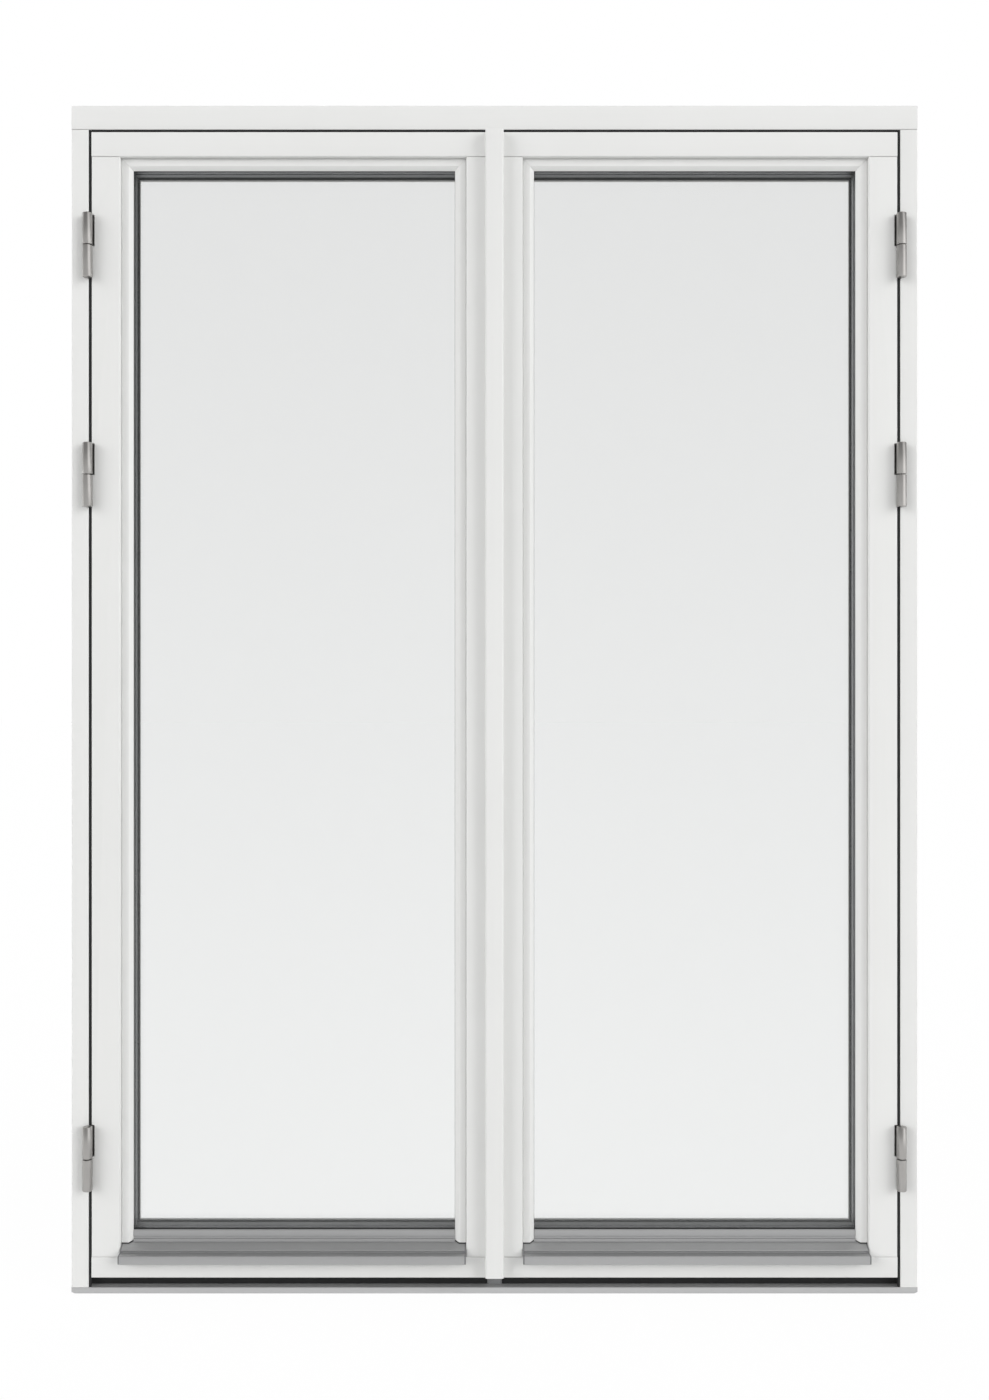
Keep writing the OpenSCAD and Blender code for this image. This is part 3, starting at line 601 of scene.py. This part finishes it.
# A countersunk head with a cross in it, on every point, turned to the point's normal.
def screwTree(material):
    tree = bpy.data.node_groups.new("screwHeads", "GeometryNodeTree")
    tree.interface.new_socket("Geometry", in_out="INPUT", socket_type="NodeSocketGeometry")
    for name in screw:
        tree.interface.new_socket(name, in_out="INPUT", socket_type="NodeSocketFloat")
    tree.interface.new_socket("Geometry", in_out="OUTPUT", socket_type="NodeSocketGeometry")

    def add(kind, settings=None, links=None):
        made = tree.nodes.new(kind)
        for key, value in (settings or {}).items():
            setattr(made, key, value)
        for key, value in (links or {}).items():
            if hasattr(value, "node"):
                tree.links.new(value, made.inputs[key])
            else:
                made.inputs[key].default_value = value
        return made

    def maths(operation, first, second):
        return add("ShaderNodeMath", {"operation": operation}, {0: first, 1: second}).outputs[0]

    def vector(x, y, z):
        return add("ShaderNodeCombineXYZ", None, {0: x, 1: y, 2: z}).outputs[0]

    given = add("NodeGroupInput").outputs
    radius, height, width = given["headRadius"], given["headHeight"], given["slotWidth"]
    head = add("GeometryNodeMeshCone", None, {
        "Vertices": 32, "Radius Top": maths("MULTIPLY", radius, screwShape["rim"]), "Radius Bottom": radius,
        "Depth": height})
    cut = add("GeometryNodeMeshBoolean", {"operation": "DIFFERENCE", "solver": "EXACT"}, {
        "Mesh 1": head.outputs["Mesh"]})
    slot = maths("MULTIPLY", radius, screwShape["slot"])
    deeper = maths("MULTIPLY", height, screwShape["deeper"])  # so that the two bars' floors aren't in one plane
    for size in (vector(slot, width, height), vector(width, slot, deeper)):
        bar = add("GeometryNodeMeshCube", None, {"Size": size}).outputs["Mesh"]
        lifted = add("GeometryNodeTransform", None, {
            "Geometry": bar, "Translation": vector(0.0, 0.0, height)})
        tree.links.new(lifted.outputs[0], cut.inputs["Mesh 2"])
    drop = vector(0.0, 0.0, maths("SUBTRACT", given["proud"], height))
    seated = add("GeometryNodeTransform", None, {"Geometry": cut.outputs[0], "Translation": drop})
    facing = add("GeometryNodeInputNamedAttribute", {"data_type": "FLOAT_VECTOR"}, {"Name": "facing"})
    turn = add("FunctionNodeAlignRotationToVector", {"axis": "Z"}, {"Vector": facing.outputs[0]})
    twist = add("FunctionNodeRandomValue", {"data_type": "FLOAT"}, {3: screwShape["anyTurn"], "Seed": 7})
    euler = add("FunctionNodeEulerToRotation", None, {0: vector(0.0, 0.0, twist.outputs[1])})
    spun = add("FunctionNodeRotateRotation", {"rotation_space": "LOCAL"}, {
        "Rotation": turn.outputs[0], "Rotate By": euler.outputs[0]})
    placed = add("GeometryNodeInstanceOnPoints", None, {
        "Points": given["Geometry"], "Instance": seated.outputs[0], "Rotation": spun.outputs[0]})
    real = add("GeometryNodeRealizeInstances", None, {"Geometry": placed.outputs[0]})
    coated = add("GeometryNodeSetMaterial", None, {"Geometry": real.outputs[0], "Material": material})
    out = add("NodeGroupOutput")
    tree.links.new(coated.outputs[0], out.inputs[0])
    return tree


def setScrews(name, body, places, tree, sizes):
    points = bpy.data.meshes.new(name)
    points.from_pydata([spot for spot, way in places], [], [])
    facing = points.attributes.new("facing", "FLOAT_VECTOR", "POINT")
    for item, (spot, way) in zip(facing.data, places):
        item.vector = way
    holder = bpy.data.objects.new(name, points)
    scene.collection.objects.link(holder)
    modifier = holder.modifiers.new("screws", "NODES")
    modifier.node_group = tree
    for socket in tree.interface.items_tree:
        if socket.in_out == "INPUT" and socket.name in sizes:
            modifier[socket.identifier] = sizes[socket.name]
    bpy.context.view_layer.update()
    made = bpy.data.meshes.new_from_object(holder.evaluated_get(bpy.context.evaluated_depsgraph_get()))
    bpy.data.objects.remove(holder)
    addPiece(name, made, body)


zincScrews = screwTree(zinc)
nickelScrews = screwTree(nickel)


# middle of a box's face, looking along one axis, at given heights
def onPlate(node, axis, sign, heights):
    low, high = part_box(node)
    spot = [(low[i] + high[i]) / 2 for i in range(3)]
    spot[axis] = (high if sign > 0 else low)[axis]
    way = [0, 0, 0]
    way[axis] = sign
    return [((spot[0], spot[1], height), tuple(way)) for height in heights]


def spaced(low, high, count):
    return [low + (high - low) * step / (count - 1) for step in range(count)]


fixings = {
    "edge": 22 * mm,          # from the end of a plate to its first screw
    "faceplateCount": 9,
    "flushLength": 300 * mm,  # one flush plate
    "collar": 3 * mm,         # how far the collar stands out from the handle plate's face
    "handleReach": 58 * mm,   # from the middle of the handle plate
    "keepInset": 6 * mm,
}
handleScrew = {**screw, "proud": 0.9 * mm, "headHeight": 2 * mm, "slotWidth": 1.2 * mm}
keepScrew = {**screw, "headRadius": 2.8 * mm}

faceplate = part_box("lock_faceplate")
edge = fixings["edge"]
setScrews("faceplate_screws", "right_leaf",
          onPlate("lock_faceplate", 0, -1, spaced(
              faceplate[0][2] + edge, faceplate[1][2] - edge, fixings["faceplateCount"])),
          zincScrews, screw)
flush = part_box("left_flush_plates")
flushLength = fixings["flushLength"]
setScrews("flush_plate_screws", "left_leaf",
          onPlate("left_flush_plates", 0, 1, [flush[0][2] + edge, flush[0][2] + flushLength - edge,
                                              flush[1][2] - flushLength + edge, flush[1][2] - edge]),
          zincScrews, screw)
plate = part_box("handle_plate")
plateMiddle = (plate[0][2] + plate[1][2]) / 2
reach = fixings["handleReach"]
setScrews("handle_plate_screws", "right_leaf",
          [((spot[0], spot[1] - fixings["collar"], spot[2]), way) for spot, way in
           onPlate("handle_plate", 1, 1, [plateMiddle - reach, plateMiddle + reach])],
          nickelScrews, handleScrew)

blade = {"rows": (9 * mm, 25 * mm, 41 * mm), "stagger": 12 * mm, "middle": 27.5 * mm, "seat": 0.1 * mm}
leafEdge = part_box("right_hinge_stile")[1][0]
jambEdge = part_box("gap_seals")[1][0]
bladePlaces = {"frame": [], "left_leaf": [], "right_leaf": []}
for node in nodes:
    if node.startswith("hinge_"):
        low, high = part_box(node)
        side = 1 if high[0] > 0 else -1
        onJamb = node.startswith("hinge_frame")
        x = side * (jambEdge + blade["seat"] if onJamb else leafEdge - blade["seat"])
        for row, offset in enumerate(blade["rows"]):
            z = low[2] + blade["middle"] + blade["stagger"] * (1 if row % 2 else -1)
            bladePlaces[bodyOf[node]].append(((x, high[1] - offset, z), (-side if onJamb else side, 0, 0)))
for body, places in bladePlaces.items():
    setScrews(body + "_hinge_screws", body, places, nickelScrews, screw)

keepPlaces = []
for node, sign in (("head_keep", -1), ("threshold_keep", 1)):
    low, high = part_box(node)
    z = (high if sign > 0 else low)[2]
    x, y = high[0] - fixings["keepInset"], (low[1] + high[1]) / 2
    keepPlaces += [((side * x, y, z), (0, 0, sign)) for side in (-1, 1)]
setScrews("keep_screws", "frame", keepPlaces, zincScrews, keepScrew)
print("screws set")


studio = {
    "floor": 0.80,
    "ambient": 0.45,
    "key": 1.58,         # from the right
    "fill": 1.36,        # from the left
    "strip": 1.1,        # brightness of the tall softboxes that metal mirrors
    "back": 0.9,
    "fanOut": 1.3,       # how far from the doors their light on the floor starts
    "mirrorLow": 1.05,   # what glass and metal mirror from the near floor
    "mirrorHigh": 0.40,  # and from above
    "mirrorTop": 0.30,   # and from high up
    "fadeGain": 2.9,     # the mirrored floor fades as gain / (distance + softness)
    "fadeSoftness": 2.4,
    "floorSize": 60,
    "floorGlow": 1.02,   # the plain floor that the camera sees
    "floorPlain": 0.94,  # its share, the rest shows the shade of the doors
    "boxSide": (0.77, -0.64, 0),  # where one softbox stands, the other is opposite
    "lampAway": 4,
}
horizon = (studio["mirrorLow"] + studio["mirrorHigh"]) / 2
white = (1, 1, 1, 1)


# Two tall softboxes, front right and back left, that only mirroring surfaces show.
def softboxes(f, spot):
    flat = f.node("ShaderNodeVectorMath", {"operation": "MULTIPLY"}, {0: spot, 1: (1, 1, 0)})
    way = f.node("ShaderNodeVectorMath", {"operation": "NORMALIZE"}, {0: flat})
    turned = f.node("ShaderNodeVectorMath", {"operation": "DOT_PRODUCT"}, {
        0: way, 1: studio["boxSide"]}, output=1)
    return f.ramp(abs(turned), [(0.86, 0.0), (0.93, 1.0)]) * studio["strip"]


def makeFloor():
    mesh = bpy.data.meshes.new("floor")
    size = studio["floorSize"]
    corners = [(-size, -size, 0), (size, -size, 0), (size, size, 0), (-size, size, 0)]
    mesh.from_pydata(corners, [], [(0, 1, 2, 3)])
    floor = bpy.data.objects.new("floor", mesh)
    scene.collection.objects.link(floor)
    f = Finish("paleFloor")
    seen = f.node("ShaderNodeLightPath")
    mirrored = f.node("ShaderNodeLightPath", output=3)
    spot = f.node("ShaderNodeTexCoord", output=3)
    distance = f.node("ShaderNodeVectorMath", {"operation": "LENGTH"}, {0: spot}, output=1)
    side = f.node("ShaderNodeVectorMath", {"operation": "SIGN"}, {0: spot})
    pushed = f.node("ShaderNodeVectorMath", {"operation": "MULTIPLY"}, {0: side, 1: (0, studio["fanOut"], 0)})
    boxes = softboxes(f, f.node("ShaderNodeVectorMath", {"operation": "ADD"}, {0: spot, 1: pushed}))
    farOff = f.ramp(distance * 0.1, [(0.12, 0.0), (0.35, 1.0)])
    nearness = studio["fadeGain"] / (distance + studio["fadeSoftness"])
    plain = f.node("ShaderNodeBsdfDiffuse", None, {"Color": (studio["floor"],) * 3 + (1,)})
    shown = f.node("ShaderNodeEmission", None, {"Color": white, "Strength": studio["floorGlow"]})
    seenInGlass = f.node("ShaderNodeEmission", None, {
        "Color": white, "Strength": nearness * (studio["mirrorLow"] - horizon) + horizon + boxes * farOff})
    bounce = f.node("ShaderNodeMixShader", None, {0: mirrored, 1: plain, 2: seenInGlass})
    mesh.materials.append(f.end(f.node("ShaderNodeMixShader", None, {
        0: seen * studio["floorPlain"], 1: bounce, 2: shown})))


def makeLamp(name, strength, direction, spread):
    lamp = bpy.data.lights.new(name, "SUN")
    lamp.energy = strength
    lamp.angle = math.radians(spread)
    lampObject = bpy.data.objects.new(name, lamp)
    lampObject.rotation_euler = Vector(direction).to_track_quat("Z", "Y").to_euler()
    lampObject.location = Vector(direction) * studio["lampAway"]
    lampObject.visible_glossy = False
    scene.collection.objects.link(lampObject)


# White behind the doors. What the glass mirrors fades from the horizon upwards.
def makeWorld():
    f = Finish("studio", bpy.data.worlds)
    scene.world = f.owner
    height = f.node("ShaderNodeSeparateXYZ", None, {0: f.node("ShaderNodeTexCoord")}, output=2)
    fade = f.ramp(height, [(0.0, horizon), (0.38, studio["mirrorHigh"]), (0.75, studio["mirrorTop"])])
    soft = f.node("ShaderNodeBackground", None, {"Color": white, "Strength": studio["ambient"]})
    mirrored = f.node("ShaderNodeBackground", None, {
        "Color": white, "Strength": fade + softboxes(f, f.node("ShaderNodeTexCoord"))})
    shown = f.node("ShaderNodeBackground", None, {"Color": white, "Strength": 1.0})
    inGlass = f.node("ShaderNodeMixShader", None, {
        0: f.node("ShaderNodeLightPath", output=3), 1: soft, 2: mirrored})
    f.end(f.node("ShaderNodeMixShader", None, {
        0: f.node("ShaderNodeLightPath"), 1: inGlass, 2: shown}), "ShaderNodeOutputWorld")


shot = {"distance": 2.4, "height": 1.04, "lens": 35.28, "sensor": 36}


def makeCamera():
    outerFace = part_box("frame_head")[0][1]
    cam = bpy.data.cameras.new("camera")
    cam.sensor_fit = "VERTICAL"
    cam.sensor_height = shot["sensor"]
    cam.lens = shot["lens"]
    cam.clip_end = 200
    camObject = bpy.data.objects.new("camera", cam)
    camObject.location = (0, outerFace - shot["distance"], shot["height"])
    camObject.rotation_euler = (math.radians(90), 0, 0)
    scene.collection.objects.link(camObject)
    scene.camera = camObject


makeFloor()
makeLamp("keyLamp", studio["key"], (0.80, -0.50, 0.30), 40)
makeLamp("fillLamp", studio["fill"], (-0.80, -0.50, 0.30), 40)
makeLamp("backLamp", studio["back"], (-0.15, 0.94, 0.30), 50)
makeWorld()
makeCamera()
scene.view_settings.view_transform = "Standard"
print("floor, light and camera ready")
